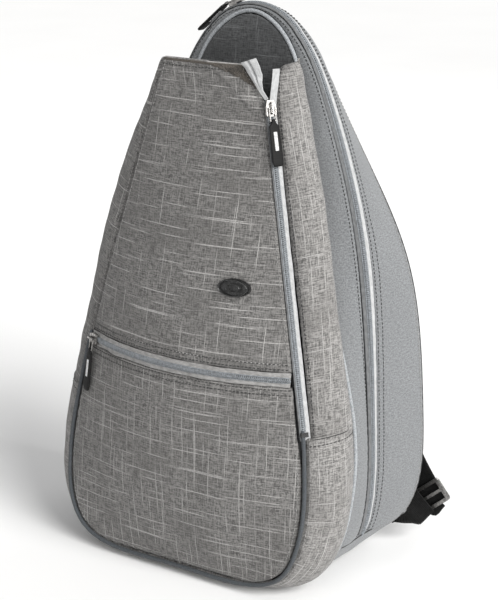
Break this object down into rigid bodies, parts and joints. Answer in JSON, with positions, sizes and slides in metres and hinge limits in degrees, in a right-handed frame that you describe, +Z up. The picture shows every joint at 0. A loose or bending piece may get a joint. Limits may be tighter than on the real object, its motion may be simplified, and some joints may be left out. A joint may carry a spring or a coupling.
{
  "type": "racket backpack",
  "caption": "Teardrop racket backpack with an open-topped bulging racket compartment, a zipped front pocket, an arched main zip and shoulder straps.",
  "frame": {"origin": "centre of the base panel's underside, where the bag stands", "axes": "+Z up, -Y toward the front pocket, +Y toward the wearer, +X to the right when seen from the front"},
  "size_m": [0.349, 0.2313, 0.5097],
  "materials": {
    "slub_cloth": "woven slub cloth, taupe grey with pale uneven threads",
    "heather_cloth": "smooth heather cloth, blue grey",
    "lining": "plain woven lining",
    "foam": "closed-cell foam behind the lining",
    "stiffener": "sheet stiffener",
    "mesh_cloth": "black spacer mesh over foam",
    "zip_tape": "silver woven zip tape",
    "zip_coil": "nylon coil",
    "dark_piping": "cord piping, dark blue grey",
    "silver_piping": "cord piping, silver grey",
    "webbing": "ribbed black webbing",
    "nickel": "polished nickel plate",
    "pull_tab": "black moulded pull",
    "badge_metal": "dark plated metal"
  },
  "bodies": {
    "bag": {"racket_panel_upper": "slub_cloth", "pocket_panel_lower": "slub_cloth", "racket_gusset_left": "slub_cloth", "racket_gusset_right": "slub_cloth", "racket_gusset_lower": "slub_cloth", "main_gusset_front": "heather_cloth", "main_gusset_rear": "heather_cloth", "base_corner_left": "heather_cloth", "base_corner_right": "heather_cloth", "base_panel": "heather_cloth", "main_front_panel": "heather_cloth", "pocket_back_panel": "lining", "back_foam": "foam", "base_board": "stiffener", "back_panel": "mesh_cloth", "shoulder_yoke": "mesh_cloth", "main_zip_tape": "zip_tape", "pocket_zip_tape": "zip_tape", "racket_zip_tape_panel_side": "zip_tape", "racket_zip_tape_gusset_side": "zip_tape", "racket_zip_free_tape": "zip_tape", "main_zip_coil": "zip_coil", "pocket_zip_coil": "zip_coil", "racket_zip_coil": "zip_coil", "pocket_piping": "dark_piping", "body_piping": "silver_piping", "strap_anchor_left": "webbing", "strap_anchor_right": "webbing", "haul_loop_seat_left": "webbing", "haul_loop_seat_right": "webbing", "racket_zip_stop": "nickel", "badge": "badge_metal"},
    "strap_left": {"strap_pad_left": "mesh_cloth", "strap_webbing_left": "webbing", "strap_tail_left": "webbing", "anchor_webbing_left": "webbing", "strap_buckle_left": "nickel"},
    "strap_right": {"strap_pad_right": "mesh_cloth", "strap_webbing_right": "webbing", "strap_tail_right": "webbing", "anchor_webbing_right": "webbing", "strap_buckle_right": "nickel"},
    "haul_loop": {"haul_loop": "webbing"},
    "racket_slider": {"racket_slider": "nickel"},
    "racket_link": {"racket_pull_link": "nickel"},
    "racket_tab": {"racket_pull_tab": "pull_tab"},
    "pocket_slider": {"pocket_slider": "nickel"},
    "pocket_link": {"pocket_pull_link": "nickel"},
    "pocket_tab": {"pocket_pull_tab": "pull_tab"},
    "main_slider": {"main_slider": "nickel"},
    "main_link": {"main_pull_link": "nickel"},
    "main_tab": {"main_pull_tab": "pull_tab"}
  },
  "joints": [
    {"name": "strap_left_swing", "type": "hinge", "parent": "bag", "child": "strap_left", "pos_m": [-0.016, 0.093, 0.427], "axis": [-0.309, -0.0214, -0.9508], "range_deg": [-18, 18]},
    {"name": "strap_right_swing", "type": "hinge", "parent": "bag", "child": "strap_right", "pos_m": [0.016, 0.093, 0.427], "axis": [0.309, -0.0214, -0.9508], "range_deg": [-18, 18]},
    {"name": "haul_loop_lift", "type": "hinge", "parent": "bag", "child": "haul_loop", "pos_m": [0, 0.089, 0.467], "axis": [1, 0, 0], "range_deg": [0, 100]},
    {"name": "racket_slider_run", "type": "slide", "parent": "bag", "child": "racket_slider", "axis": [0.2206, -0.1343, -0.9661], "range_m": [0, 0.262]},
    {"name": "pocket_slider_run", "type": "hinge", "parent": "bag", "child": "pocket_slider", "pos_m": [0, 0.14619, 0.201], "axis": [0, 0, 1], "range_deg": [0, 49.5]},
    {"name": "main_slider_run", "type": "hinge", "parent": "bag", "child": "main_slider", "pos_m": [0, 0.03436, 0.4459], "axis": [0, 0.9983, -0.0579], "range_deg": [-5, 66]},
    {"name": "racket_link_lift", "type": "hinge", "parent": "racket_slider", "child": "racket_link", "pos_m": [0.06463, -0.03546, 0.42854], "axis": [-0.4709, -0.8822, 0.0043], "range_deg": [0, 130]},
    {"name": "racket_tab_swing", "type": "hinge", "parent": "racket_link", "child": "racket_tab", "pos_m": [0.0671, -0.03684, 0.41791], "axis": [-0.4709, -0.8822, 0.0043], "range_deg": [0, 42]},
    {"name": "pocket_link_lift", "type": "hinge", "parent": "pocket_slider", "child": "pocket_link", "pos_m": [-0.10601, -0.07569, 0.20165], "axis": [-0.9023, 0.4311, 0], "range_deg": [0, 18]},
    {"name": "pocket_tab_swing", "type": "hinge", "parent": "pocket_link", "child": "pocket_tab", "pos_m": [-0.10666, -0.07706, 0.19075], "axis": [-0.9023, 0.4311, 0], "range_deg": [0, 95]},
    {"name": "main_link_lift", "type": "hinge", "parent": "main_slider", "child": "main_link", "pos_m": [-0.02185, 0.03783, 0.50574], "axis": [0, 0.9983, -0.0579], "range_deg": [0, 130]},
    {"name": "main_tab_swing", "type": "hinge", "parent": "main_link", "child": "main_tab", "pos_m": [-0.03219, 0.03762, 0.50198], "axis": [0, 0.9983, -0.0579], "range_deg": [0, 58]}
  ]
}
